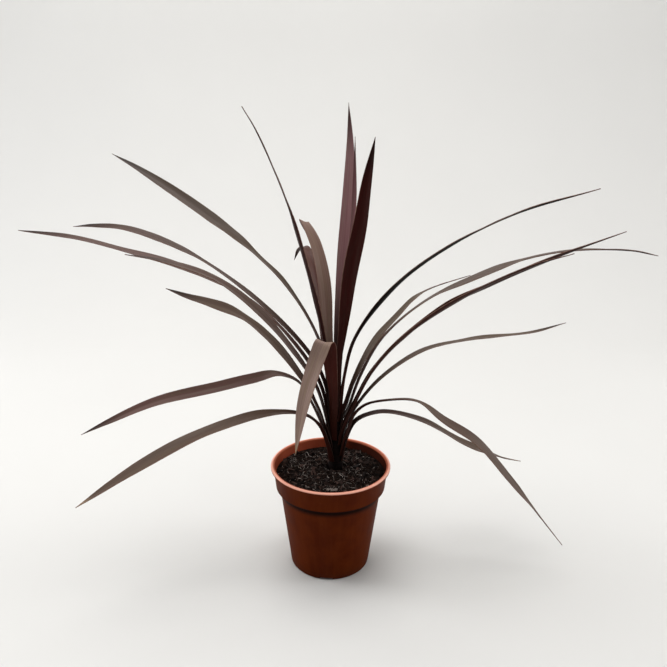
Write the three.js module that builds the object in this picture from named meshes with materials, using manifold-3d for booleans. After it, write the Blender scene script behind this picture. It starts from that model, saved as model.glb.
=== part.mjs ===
// A red star cabbage tree in a round nursery pot, in millimetres with +Z up.
// The origin is the centre of the pot's foot on the surface it stands on, and the front faces -Y.
import * as THREE from "three";
import { mergeVertices } from "three/addons/utils/BufferGeometryUtils.js";
import Module from "manifold-3d";

const wasm = await Module();
wasm.setup();

// Driving dimensions
const CLEARANCE = 0.3; // between pieces that touch

const POT = {
  height: 118,
  rimRadius: 65,
  lipDepth: 4, // radial width of the rolled lip
  lipHeight: 3,
  collarTopRadius: 62,
  collarBottomRadius: 59.6,
  collarHeight: 25.5, // from the rim down to the step
  stepWidth: 4.4,
  footRadius: 43.5,
  footRound: 2,
  footRise: 3, // how far the base plate stands off the surface
  footWidth: 4.5,
  wall: 1.4,
  basePlate: 1.6,
  sides: 64,
};

const DRAIN = {
  count: 8,
  radius: 4.5,
  circle: 28,
  sides: 16,
  notchCount: 4,
  notchWidth: 14,
  notchHeight: 2.3,
  notchAzimuth: 265, // the notch that shows at the front
};

const SOIL = {
  edgeHeight: 107.5,
  crown: 3, // rise of the surface towards the stem
  rings: 11,
  sides: 56,
  domeSharpness: 1.4, // 1 for a cone
  lump: 1.1, // half the height of the crumbs
};

const STEM = {
  x: 5.5,
  y: 10,
  bottom: 88,
  footRadius: 5.6,
  collarZ: 112,
  collarRadius: 8.2,
  shoulderZ: 118,
  shoulderRadius: 6.9,
  topZ: 190,
  topRadius: 1.9,
  scars: 3, // leaf scars between the collar and the shoulder
  scarDepth: 0.5,
  sides: 20,
};

const BLADE = {
  thickness: 0.8,
  stations: 23,
  sheath: 15, // how far up each base clasps the stem
  outerLean: 0.2, // how far the lowest base leans out for each millimetre up
  innerLean: 0.1,
  wrap: 50, // degrees that each half of a base reaches round the stem
  channelFold: 27, // degrees that each half of the blade rises from flat, above its base
  channelAt: 0.16,
  middleFold: 9,
  middleAt: 0.42,
  tipFold: 14,
  waist: 0.62, // narrowest width over widest
  waistAt: 0.18,
  bellyAt: 0.66,
  swell: 1.3, // how late the blade widens from its waist to its belly
  taper: 2.6, // how late it narrows from its belly to its point
  tipWidth: 0.9,
};

const FINISH = {
  pot: { color: 0x9a4a2c, roughness: 0.55 },
  soil: { color: 0x241a15, roughness: 0.95 },
  stem: { color: 0x1f1210, roughness: 0.8 },
  leaf: { color: 0x5b423c, roughness: 0.45 },
};

// Every leaf clasps the stem from a height, and then runs in the upright plane at its azimuth, which is
// counted from +X towards +Y. Its path lists [reach from the stem's axis, height, and where it leaves that
// plane, distance aside], and its rolls turn the blade about its own midrib, in even steps up the path.
const LEAVES = [
  {
    azimuth: 10,
    springs: 118,
    path: [[21, 161], [37, 169], [57, 170.5], [97, 158], [147, 127], [195, 104], [219, 97]],
    width: 14,
    rolls: [0, 0, 10, 4, 4, 8, 8, 8, 12, 12, 2, -12, -15],
  },
  {
    azimuth: 209,
    springs: 118,
    path: [[20, 162], [33, 176], [55, 185], [86, 190], [110, 189], [157, 181], [211, 163], [273, 135]],
    width: 14,
    rolls: [0, 0, 0, -9, -30, -22, -16, -18, -20, -15, -10],
  },
  {
    azimuth: 353,
    springs: 124.5,
    path: [
      [14.5, 157], [20, 173], [32, 185], [52, 191], [86, 192], [116, 172], [151, 150], [188, 109],
      [252, 31],
    ],
    width: 12,
    bellyAt: 0.55,
    taper: 1.8,
    rolls: [0, -14, -24, -19, -10, 20, 24, 27, 28, 24, 5, 0, 0],
  },
  {
    azimuth: 186,
    springs: 124.5,
    path: [
      [17, 164], [25, 183], [38.6, 208.5], [62, 220], [90, 215.5], [126, 207.2], [189, 193.2],
      [240, 171.7], [269, 157.7],
    ],
    width: 12,
    bellyAt: 0.5,
    taper: 3.2,
    rolls: [0, 0, 4, 8, -6, -52, -50, -46, -46, -44, -42, -42, -42],
  },
  {
    azimuth: 17,
    springs: 131,
    path: [[13, 160, 1], [23, 177, 1.5], [49.4, 207.6], [96, 235], [152, 243.5], [233, 245.3], [277, 253]],
    width: 9,
    rolls: [0, 5, 10, 10, 10, 6, -4, 4, 0, 0, 0],
  },
  {
    azimuth: 204,
    wrap: 42,
    springs: 131,
    path: [[14.5, 165], [25, 190], [37, 215], [72, 265], [106, 296], [134, 310], [154, 318], [173, 327.3]],
    width: 14,
    rolls: [0, -10, -26, -38, -41, -40, -35, -21, -37, -34, -35],
  },
  {
    azimuth: 122,
    wrap: 36,
    springs: 131,
    path: [
      [14.5, 196], [19.5, 230, 1], [39, 290, -2], [61, 327, -5], [85, 339, -10], [105, 332, -13],
      [119, 318, -15],
    ],
    width: 12,
    rolls: [0],
  },
  {
    azimuth: 338,
    springs: 137.5,
    path: [[23, 191.2], [41.2, 229], [68.4, 265.2], [124.6, 313.1], [190.5, 352], [224.5, 366]],
    width: 8,
    taper: 1.8,
    rolls: [0, -10, -24, -34, -34, -30, -28, -28, -28],
  },
  {
    azimuth: 192,
    wrap: 40,
    springs: 137.5,
    path: [[18.5, 196], [36, 231], [80, 290], [121, 325], [166, 344], [206, 353]],
    width: 14,
    rolls: [0, -10, -22, -26, -26, -20, -12, -8, -5],
  },
  {
    azimuth: 115,
    wrap: 34,
    springs: 138.5,
    path: [[13, 205], [18, 251, 2], [35, 314], [56, 349, 1], [79, 369, 4], [96, 352, -9], [104, 330, -19]],
    width: 15,
    bellyAt: 0.6,
    rolls: [0, 0, 0, 0, 0, 6, 26, 30],
  },
  {
    azimuth: 247,
    wrap: 36,
    springs: 143,
    path: [
      [13, 182, 2], [18, 212, 3], [26, 242, 3], [34, 264, 3], [38.5, 265, 2], [44, 248, -3.4],
      [64, 205, -8.9], [86, 162, -7],
    ],
    width: 18,
    bellyAt: 0.5,
    taper: 2.6,
    waist: 0.57,
    rolls: [0],
  },
  {
    azimuth: 345,
    springs: 143.5,
    path: [[20, 189], [38, 225.3], [67, 262.6], [112, 303.6], [152, 326.2], [209, 356.6], [267, 383.6]],
    width: 12,
    rolls: [0, -8, -22, -34, -30, -30, -28, -22, -20],
  },
  {
    azimuth: 170,
    wrap: 38,
    springs: 144,
    path: [
      [16.5, 201], [35, 235], [88, 291], [130, 312], [181, 330], [232, 341.3], [288, 352.3],
      [352, 357.5],
    ],
    width: 13,
    rolls: [0, -10, -10, -5, 8, 14, -2, -8, -9, -4, -5, -15, -30],
  },
  {
    azimuth: 7,
    springs: 151,
    path: [
      [12.5, 176], [25.7, 215.2], [48.9, 257.9], [95.5, 298], [140, 318.4], [194, 338], [248, 347],
      [312, 346], [344, 340],
    ],
    width: 12,
    rolls: [0, 0, -4, -10, -9, -6, 8, 12, -6, -8, -8, -13, -32],
  },
  {
    azimuth: 160,
    springs: 150.5,
    path: [[13.5, 205], [30, 235], [87, 287], [164, 331.5], [246, 356], [296, 357], [325, 354]],
    width: 11.5,
    rolls: [0, -5, -9, -10, -10, 0, 8, 9, -4, -15, -24, -36, -40],
  },
  {
    azimuth: 27,
    springs: 157,
    path: [[11, 180], [21, 207], [45, 248], [72.5, 273.5], [92.5, 290.3], [115, 299.5], [168, 309]],
    width: 11,
    bellyAt: 0.42,
    taper: 1.8,
    rolls: [0, 8, 13, 14, 2, 0, -2, 2, -4, -23, -20, -8, 0],
  },
  {
    azimuth: 156,
    springs: 157,
    path: [[12, 220], [23, 257], [62, 312], [90, 334.5], [115, 353], [170, 385], [242, 421], [278, 436]],
    width: 13,
    bellyAt: 0.62,
    taper: 2.5,
    rolls: [0, 0, 8, 18, 12, 2, 12, -12, -36, -38, -38, -38, -40],
  },
  {
    azimuth: 336,
    springs: 164.5,
    path: [[9.5, 218], [20.8, 260.8], [59, 317.3], [110, 361.5], [170, 397.5], [240, 424]],
    width: 11,
    rolls: [0, 0, -15, -24, -20, -10, -3, -12, -12],
  },
  {
    azimuth: 212,
    springs: 163.5,
    path: [[11, 230], [21, 282], [37, 340], [58.8, 405], [88, 467], [101, 487]],
    width: 11,
    bellyAt: 0.45,
    rolls: [0, 0, 0, 0, -3, -9, -22, -19, -15],
  },
  {
    azimuth: 85,
    springs: 170,
    path: [[10.8, 253, 0.5], [17.5, 327, -2.5], [23, 398, -7.7], [29, 451, -8.6], [35, 492, -6]],
    width: 13,
    taper: 1.8,
    rolls: [0],
  },
  {
    azimuth: 300,
    springs: 171,
    path: [[7.5, 232, -1.8], [13, 265, -1.2], [20, 324, 1.8], [30, 380, 7], [39, 423, 8], [49, 462, 9]],
    width: 18,
    bellyAt: 0.56,
    taper: 2.5,
    waist: 0.46,
    rolls: [0],
  },
  {
    azimuth: 60,
    springs: 177,
    path: [[8, 254, -2], [14, 328, -5.5], [22, 399, -5.6], [28, 460, -2]],
    width: 6,
    taper: 1.8,
    rolls: [0],
  },
];

const RADIAN = Math.PI / 180;
const { lerp, clamp, smoothstep } = THREE.MathUtils;

// One closed body from a geometry whose shared corners lie on each other
function solidOf(geometry) {
  const bare = new THREE.BufferGeometry().setAttribute("position", geometry.getAttribute("position"));
  bare.setIndex(geometry.getIndex());
  const merged = mergeVertices(bare, 1e-4);
  const corners = merged.index.array;
  const kept = [];
  for (let i = 0; i < corners.length; i += 3) {
    const [a, b, c] = corners.slice(i, i + 3);
    if (a !== b && b !== c && c !== a) kept.push(a, b, c);
  }
  return new wasm.Manifold(
    new wasm.Mesh({
      numProp: 3,
      vertProperties: new Float32Array(merged.attributes.position.array),
      triVerts: new Uint32Array(kept),
    }),
  );
}

function geometryOf(solid) {
  const mesh = solid.getMesh();
  const geometry = new THREE.BufferGeometry();
  geometry.setAttribute("position", new THREE.BufferAttribute(mesh.vertProperties, 3));
  geometry.setIndex(new THREE.BufferAttribute(mesh.triVerts, 1));
  geometry.computeVertexNormals();
  return geometry;
}

// A turned body about +Z from its profile of [radius, height]
function turned(profile, sides) {
  const points = profile.map(([radius, height]) => new THREE.Vector2(radius, height));
  return new THREE.LatheGeometry(points, sides).rotateX(Math.PI / 2);
}

function named(name, geometry, finish) {
  const mesh = new THREE.Mesh(geometry, new THREE.MeshStandardMaterial({ ...finish, metalness: 0 }));
  mesh.name = name;
  return mesh;
}

const stepZ = POT.height - POT.collarHeight;
const bodyTopRadius = POT.collarBottomRadius - POT.stepWidth;
const floorZ = POT.footRise + POT.basePlate;

// The inside of the pot from its floor to the lip, drawn in by a gap
function potInside(gap) {
  const inset = POT.wall + gap;
  return [
    [POT.footRadius - inset, floorZ + gap],
    [bodyTopRadius - inset, stepZ + gap],
    [POT.collarBottomRadius - inset, stepZ + POT.wall + gap],
    [POT.collarTopRadius - inset, POT.height - POT.lipHeight],
  ];
}

// Pot: foot ring, tapered body, collar and rolled lip
function potGeometry() {
  const { height, rimRadius, lipDepth, lipHeight, footRadius, footRound, footRise, footWidth } = POT;
  const lipTop = rimRadius - lipDepth / 2;
  const profile = [
    [0, footRise],
    [footRadius - footWidth, footRise],
    [footRadius - footWidth, 0],
    [footRadius - footRound, 0],
    [footRadius - footRound * 0.3, footRound * 0.35],
    [footRadius, footRound],
    [bodyTopRadius, stepZ - 0.8],
    [POT.collarBottomRadius - 0.6, stepZ - 0.4],
    [POT.collarBottomRadius, stepZ + 0.4],
    [POT.collarTopRadius, height - lipHeight],
    [rimRadius - 0.5, height - lipHeight],
    [rimRadius, height - lipHeight * 0.7],
    [rimRadius - 0.2, height - lipHeight * 0.25],
    [lipTop + 0.9, height - 0.1],
    [lipTop, height],
    [lipTop - 1, height - 0.2],
    [rimRadius - lipDepth, height - lipHeight * 0.4],
    ...potInside(0).reverse(),
    [0, floorZ],
  ];
  let pot = solidOf(turned(profile, POT.sides));
  for (let i = 0; i < DRAIN.count; i++) {
    const hole = new THREE.CylinderGeometry(DRAIN.radius, DRAIN.radius, 3 * POT.basePlate, DRAIN.sides);
    hole.rotateX(Math.PI / 2);
    hole.translate(DRAIN.circle, 0, footRise + POT.basePlate / 2);
    hole.rotateZ((DRAIN.notchAzimuth + (360 / DRAIN.count) * (i + 0.5)) * RADIAN);
    pot = pot.subtract(solidOf(hole));
  }
  for (let i = 0; i < DRAIN.notchCount; i++) {
    const notch = new THREE.BoxGeometry(3 * footWidth, DRAIN.notchWidth, 2 * DRAIN.notchHeight);
    notch.translate(footRadius - footWidth / 2, 0, 0);
    notch.rotateZ((DRAIN.notchAzimuth + (360 / DRAIN.notchCount) * i) * RADIAN);
    pot = pot.subtract(solidOf(notch));
  }
  return geometryOf(pot);
}

// Low crumbs of the surface, between -1 and 1, from two sets of crossed waves
function crumbs(x, y) {
  const bendX = 0.9 * Math.sin(0.21 * x);
  const bendY = 1.3 * Math.sin(0.17 * y);
  const coarse = Math.sin(0.31 * x + bendY) * Math.cos(0.27 * y - bendX);
  const fine = Math.sin(0.71 * x - 0.43 * y + 1.1) * Math.cos(0.59 * y + 0.37 * x);
  return 0.55 * coarse + 0.45 * fine;
}

// Compost: fills the pot, with a crumbly domed surface and a blind hole for the stem's foot
function soilGeometry() {
  const wallRings = potInside(CLEARANCE);
  const [[collarRadius], [lipRadius, lipZ]] = wallRings.slice(2);
  const edgeShare = (SOIL.edgeHeight - stepZ) / (lipZ - stepZ);
  const edgeRadius = lerp(collarRadius, lipRadius, edgeShare) - 0.2;
  const crownZ = SOIL.edgeHeight + SOIL.crown;
  const holeZ = STEM.bottom - CLEARANCE;
  const rings = [
    { x: STEM.x, y: STEM.y, radius: buriedRadius(holeZ) + CLEARANCE, z: holeZ },
    { x: STEM.x, y: STEM.y, radius: buriedRadius(crownZ) + CLEARANCE, z: crownZ },
  ];
  for (let i = 1; i <= SOIL.rings; i++) {
    const t = i / SOIL.rings;
    rings.push({
      x: STEM.x * (1 - t),
      y: STEM.y * (1 - t),
      radius: lerp(rings[1].radius, edgeRadius, t),
      z: SOIL.edgeHeight + SOIL.crown * (1 - t) ** SOIL.domeSharpness,
      lump: SOIL.lump * Math.sin(Math.PI * Math.min(t, 0.94)) ** 0.5,
    });
  }
  for (const [radius, z] of wallRings.slice(0, 3).reverse()) rings.push({ x: 0, y: 0, radius, z });

  const positions = [STEM.x, STEM.y, holeZ];
  for (const { x, y, radius, z, lump = 0 } of rings) {
    for (let j = 0; j < SOIL.sides; j++) {
      const angle = (2 * Math.PI * j) / SOIL.sides;
      const px = x + radius * Math.cos(angle);
      const py = y + radius * Math.sin(angle);
      positions.push(px, py, z + lump * crumbs(px, py));
    }
  }
  positions.push(0, 0, wallRings[0][1]);
  const last = positions.length / 3 - 1;
  const at = (ring, j) => 1 + ring * SOIL.sides + (j % SOIL.sides);
  const faces = [];
  for (let j = 0; j < SOIL.sides; j++) {
    faces.push(0, at(0, j), at(0, j + 1));
    for (let k = 0; k + 1 < rings.length; k++) {
      faces.push(at(k, j), at(k + 1, j), at(k + 1, j + 1), at(k, j), at(k + 1, j + 1), at(k, j + 1));
    }
    faces.push(last, at(rings.length - 1, j + 1), at(rings.length - 1, j));
  }
  const geometry = new THREE.BufferGeometry();
  geometry.setAttribute("position", new THREE.Float32BufferAttribute(positions, 3));
  geometry.setIndex(faces);
  geometry.computeVertexNormals();
  return geometry;
}

// The stem's radius below its collar, and from its shoulder up
function buriedRadius(z) {
  return lerp(STEM.footRadius, STEM.collarRadius, (z - STEM.bottom) / (STEM.collarZ - STEM.bottom));
}

function stemRadius(z) {
  const t = clamp((z - STEM.shoulderZ) / (STEM.topZ - STEM.shoulderZ), 0, 1);
  return lerp(STEM.shoulderRadius, STEM.topRadius, t);
}

// Stem: a buried foot, a short ringed trunk and the taper that the leaves clasp
function stemGeometry() {
  const profile = [
    [0, STEM.bottom],
    [STEM.footRadius, STEM.bottom],
    [STEM.collarRadius, STEM.collarZ],
  ];
  const steps = 2 * STEM.scars;
  for (let i = 1; i < steps; i++) {
    const groove = i % 2 ? STEM.scarDepth : 0;
    const radius = lerp(STEM.collarRadius, STEM.shoulderRadius, i / steps) - groove;
    profile.push([radius, lerp(STEM.collarZ, STEM.shoulderZ, i / steps)]);
  }
  profile.push([STEM.shoulderRadius, STEM.shoulderZ], [STEM.topRadius, STEM.topZ], [0, STEM.topZ + 1]);
  return turned(profile, STEM.sides);
}

// A blade's width along its length, from where it clasps the stem to its point
function bladeWidth(s, leaf, clasp) {
  const { waistAt, swell, tipWidth } = BLADE;
  const bellyAt = leaf.bellyAt ?? BLADE.bellyAt;
  const taper = leaf.taper ?? BLADE.taper;
  const narrow = (leaf.waist ?? BLADE.waist) * leaf.width;
  if (s < waistAt) return lerp(clasp, narrow, smoothstep(s, 0, waistAt));
  if (s < bellyAt) return lerp(narrow, leaf.width, smoothstep(s, waistAt, bellyAt) ** swell);
  const t = (s - bellyAt) / (1 - bellyAt);
  return Math.max(tipWidth, leaf.width * (1 - t ** taper));
}

// How far the inner and the outer quarter of the blade's width rise from flat, in degrees: round the
// stem at the base, and straight out from the midrib above it
function bladeFolds(s, bend) {
  const { channelFold, channelAt, middleFold, middleAt, tipFold } = BLADE;
  if (s > middleAt) return Array(2).fill(lerp(middleFold, tipFold, (s - middleAt) / (1 - middleAt)));
  const fold = lerp(channelFold, middleFold, smoothstep(s, channelAt, middleAt));
  const share = smoothstep(s, 0, channelAt);
  return [lerp(bend / 4, fold, share), lerp(0.75 * bend, fold, share)];
}

function bladeRoll(s, rolls) {
  const place = s * (rolls.length - 1);
  const step = Math.min(Math.floor(place), rolls.length - 1);
  const next = Math.min(step + 1, rolls.length - 1);
  return lerp(rolls[step], rolls[next], smoothstep(place - step, 0, 1));
}

// Leaf: a thin folded strap along its midrib, with five corners across each face
function bladeGeometry(leaf) {
  const { thickness, stations } = BLADE;
  const out = new THREE.Vector3(Math.cos(leaf.azimuth * RADIAN), Math.sin(leaf.azimuth * RADIAN), 0);
  const aside = new THREE.Vector3(-out.y, out.x, 0);
  const wrap = leaf.wrap ?? BLADE.wrap;
  const keelRadius = (stemRadius(leaf.springs) + CLEARANCE) / Math.cos((wrap / 4) * RADIAN) + thickness / 2;
  const clasp = 2 * keelRadius * wrap * RADIAN;
  const seat = keelRadius * (1 + Math.cos(wrap * RADIAN)) / 2;
  const youth = (leaf.springs - LEAVES[0].springs) / (LEAVES.at(-1).springs - LEAVES[0].springs);
  const lean = lerp(BLADE.outerLean, BLADE.innerLean, youth);
  const base = [
    [seat, leaf.springs],
    [seat + lean * BLADE.sheath, leaf.springs + BLADE.sheath],
  ];
  const points = [...base, ...leaf.path].map(([reach, height, shift = 0]) =>
    new THREE.Vector3(0, 0, height).addScaledVector(out, reach).addScaledVector(aside, shift),
  );
  const midrib = new THREE.CatmullRomCurve3(points, false, "centripetal");

  const positions = [];
  for (let i = 0; i <= stations; i++) {
    const s = i / stations;
    const centre = midrib.getPointAt(s);
    const along = midrib.getTangentAt(s);
    const across = aside.clone().addScaledVector(along, -aside.dot(along)).normalize();
    across.applyAxisAngle(along, bladeRoll(s, leaf.rolls) * RADIAN);
    const face = new THREE.Vector3().crossVectors(along, across);
    const quarter = bladeWidth(s, leaf, clasp) / 4;
    const bend = (2 * quarter) / (centre.dot(out) + keelRadius - seat) / RADIAN;
    const [inner, outer] = bladeFolds(s, bend).map((degrees) => degrees * RADIAN);
    const section = [
      { aside: 0, up: 0, tilt: 0 },
      { aside: quarter * Math.cos(inner), up: quarter * Math.sin(inner), tilt: (inner + outer) / 2 },
    ];
    section.push({
      aside: section[1].aside + quarter * Math.cos(outer),
      up: section[1].up + quarter * Math.sin(outer),
      tilt: outer,
    });
    for (const side of [thickness / 2, -thickness / 2]) {
      for (const k of [-2, -1, 0, 1, 2]) {
        const { aside: width, up, tilt } = section[Math.abs(k)];
        const point = centre.clone();
        point.addScaledVector(across, Math.sign(k) * (width - side * Math.sin(tilt)));
        point.addScaledVector(face, up - section[2].up / 2 + side * Math.cos(tilt));
        positions.push(...point);
      }
    }
  }

  // Corners of a station: 0 to 4 across the upper face, 5 to 9 across the lower one
  const at = (i, corner) => 10 * i + corner;
  const faces = [];
  for (let i = 0; i < stations; i++) {
    for (const k of [0, 1, 2, 3]) {
      faces.push(at(i, k), at(i + 1, k), at(i + 1, k + 1), at(i, k), at(i + 1, k + 1), at(i, k + 1));
      faces.push(at(i, k + 5), at(i + 1, k + 6), at(i + 1, k + 5));
      faces.push(at(i, k + 5), at(i, k + 6), at(i + 1, k + 6));
    }
    faces.push(at(i, 9), at(i, 4), at(i + 1, 4), at(i, 9), at(i + 1, 4), at(i + 1, 9));
    faces.push(at(i, 5), at(i + 1, 0), at(i, 0), at(i, 5), at(i + 1, 5), at(i + 1, 0));
  }
  for (const k of [0, 1, 2, 3]) {
    faces.push(at(0, k + 5), at(0, k), at(0, k + 1), at(0, k + 5), at(0, k + 1), at(0, k + 6));
    const end = stations;
    faces.push(at(end, k + 5), at(end, k + 1), at(end, k), at(end, k + 5), at(end, k + 6), at(end, k + 1));
  }
  const geometry = new THREE.BufferGeometry();
  geometry.setAttribute("position", new THREE.Float32BufferAttribute(positions, 3));
  geometry.setIndex(faces);
  geometry.computeVertexNormals();
  return geometry;
}

const plant = new THREE.Group();
plant.position.set(STEM.x, STEM.y, 0);
plant.add(named("stem", stemGeometry(), FINISH.stem));
LEAVES.forEach((leaf, i) => {
  const name = "leaf_" + String(i + 1).padStart(2, "0");
  plant.add(named(name, bladeGeometry(leaf), FINISH.leaf));
});

const potted = new THREE.Group();
potted.add(named("pot", potGeometry(), FINISH.pot));
potted.add(named("compost", soilGeometry(), FINISH.soil));
potted.add(plant);

export default potted;
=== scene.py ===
import math
import random

import bpy
from mathutils import Matrix, Vector


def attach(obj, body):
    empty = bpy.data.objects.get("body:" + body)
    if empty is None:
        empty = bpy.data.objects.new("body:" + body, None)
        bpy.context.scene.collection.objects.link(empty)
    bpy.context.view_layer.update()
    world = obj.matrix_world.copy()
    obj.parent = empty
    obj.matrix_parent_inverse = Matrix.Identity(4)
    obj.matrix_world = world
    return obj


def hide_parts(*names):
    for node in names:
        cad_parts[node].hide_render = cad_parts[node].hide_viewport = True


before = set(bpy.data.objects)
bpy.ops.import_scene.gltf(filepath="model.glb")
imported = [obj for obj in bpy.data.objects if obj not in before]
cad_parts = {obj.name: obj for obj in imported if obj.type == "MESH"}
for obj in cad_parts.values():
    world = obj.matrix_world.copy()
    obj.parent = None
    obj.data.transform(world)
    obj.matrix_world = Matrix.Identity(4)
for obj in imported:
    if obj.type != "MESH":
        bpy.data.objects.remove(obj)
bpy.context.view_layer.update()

MM = 0.001
BODY = "root"

# The camera
LENS = 37.78
SENSOR_WIDTH = 36
LOOKS_DOWN = 17.666
CAMERA_ROLL = 0.558
CAMERA_PLACE = (1.75, -684.65, 484.28)

# The pot, as the frame has it
POT_HEIGHT = 118
RIM_RADIUS = 65
LIP_DEPTH = 4
LIP_HEIGHT = 3
COLLAR_TOP_RADIUS = 62
COLLAR_BOTTOM_RADIUS = 59.6
COLLAR_HEIGHT = 25.5
STEP_WIDTH = 4.4
FOOT_RADIUS = 43.5
FOOT_RISE = 3
FOOT_WIDTH = 4.5
WALL = 1.4
BASE_PLATE = 1.6
STEP_Z = POT_HEIGHT - COLLAR_HEIGHT
BODY_TOP_RADIUS = COLLAR_BOTTOM_RADIUS - STEP_WIDTH
FLOOR_Z = FOOT_RISE + BASE_PLATE
DRAIN_HOLES = 8
DRAIN_RADIUS = 4.5
DRAIN_CIRCLE = 28
NOTCHES = 4
NOTCH_WIDTH = 14
NOTCH_HEIGHT = 2.3
NOTCH_AZIMUTH = 265

# How far the pot's edges are rounded
FOOT_ROUND = 2
STEP_ROUND_OUT = 1.2
STEP_ROUND_DOWN = 0.9
COLLAR_ROUND = 1
RIM_ROUND = 0.9
LIP_ROUND = 1.2
CUT_EDGE_BEVEL = 0.25

# The compost. Its relief is in pairs of (size, strength).
SOIL_EDGE_Z = 107.5
SOIL_CROWN = 3
SOIL_GAP = 0.3
SOIL_EDGE_INSET = 0.2
SOIL_RELIEF = ((9, 3.0), (4, 3.4), (1.6, 1.8))
DOME_SHARPNESS = 1.4
HOLLOW_DEPTH = 2.2
HOLLOW_WIDTH = 3.5
HOLE_DEPTH = 18
SOIL_RINGS = 58
SOIL_SIDES = 168
SCRAPS_CLEAR_OF_STEM = 9.5
SCRAP_TILT = 0.35
LOWEST_SCRAP_Z = 95
ABOVE_ALL_SOIL = 200
FLAKE_X = 2
FLAKE_Y = -41
FLAKE_SIZE = (6.4, 3.2, 2.0)
FLAKE_TONE = 0.17

# The stem, and how a blade sits on it
STEM_X = 5.5
STEM_Y = 10
STEM_BOTTOM = 88
STEM_FOOT_RADIUS = 5.6
COLLAR_Z = 112
STEM_COLLAR_RADIUS = 8.2
SHOULDER_Z = 118
SHOULDER_RADIUS = 6.9
STEM_TOP_Z = 190
STEM_TOP_RADIUS = 1.9
SCARS_FROM = 100
SCARS_TO = SHOULDER_Z + 6
SCAR_SPACING = 2
SCAR_DEPTH = 0.28
CLEARANCE = 0.3
BLADE_THICKNESS = 0.8
SHEATH = 15
OUTER_LEAN = 0.2
INNER_LEAN = 0.1
WRAP = 50
CHANNEL_FOLD = 36
CHANNEL_AT = 0.16
MIDDLE_FOLD = 9
MIDDLE_AT = 0.42
TIP_FOLD = 14
WAIST = 0.62
WAIST_AT = 0.18
BELLY_AT = 0.66
SWELL = 1.3
TAPER = 2.6
TIP_WIDTH = 0.3
KEEL_ROUND = 0.12
WAVE_HEIGHT = 0.35
WAVE_PACE = 23
EDGE_THINNING = 0.35
SHADED_FOOT = 0.42
COLUMNS = 12
ROWS = 110
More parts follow.
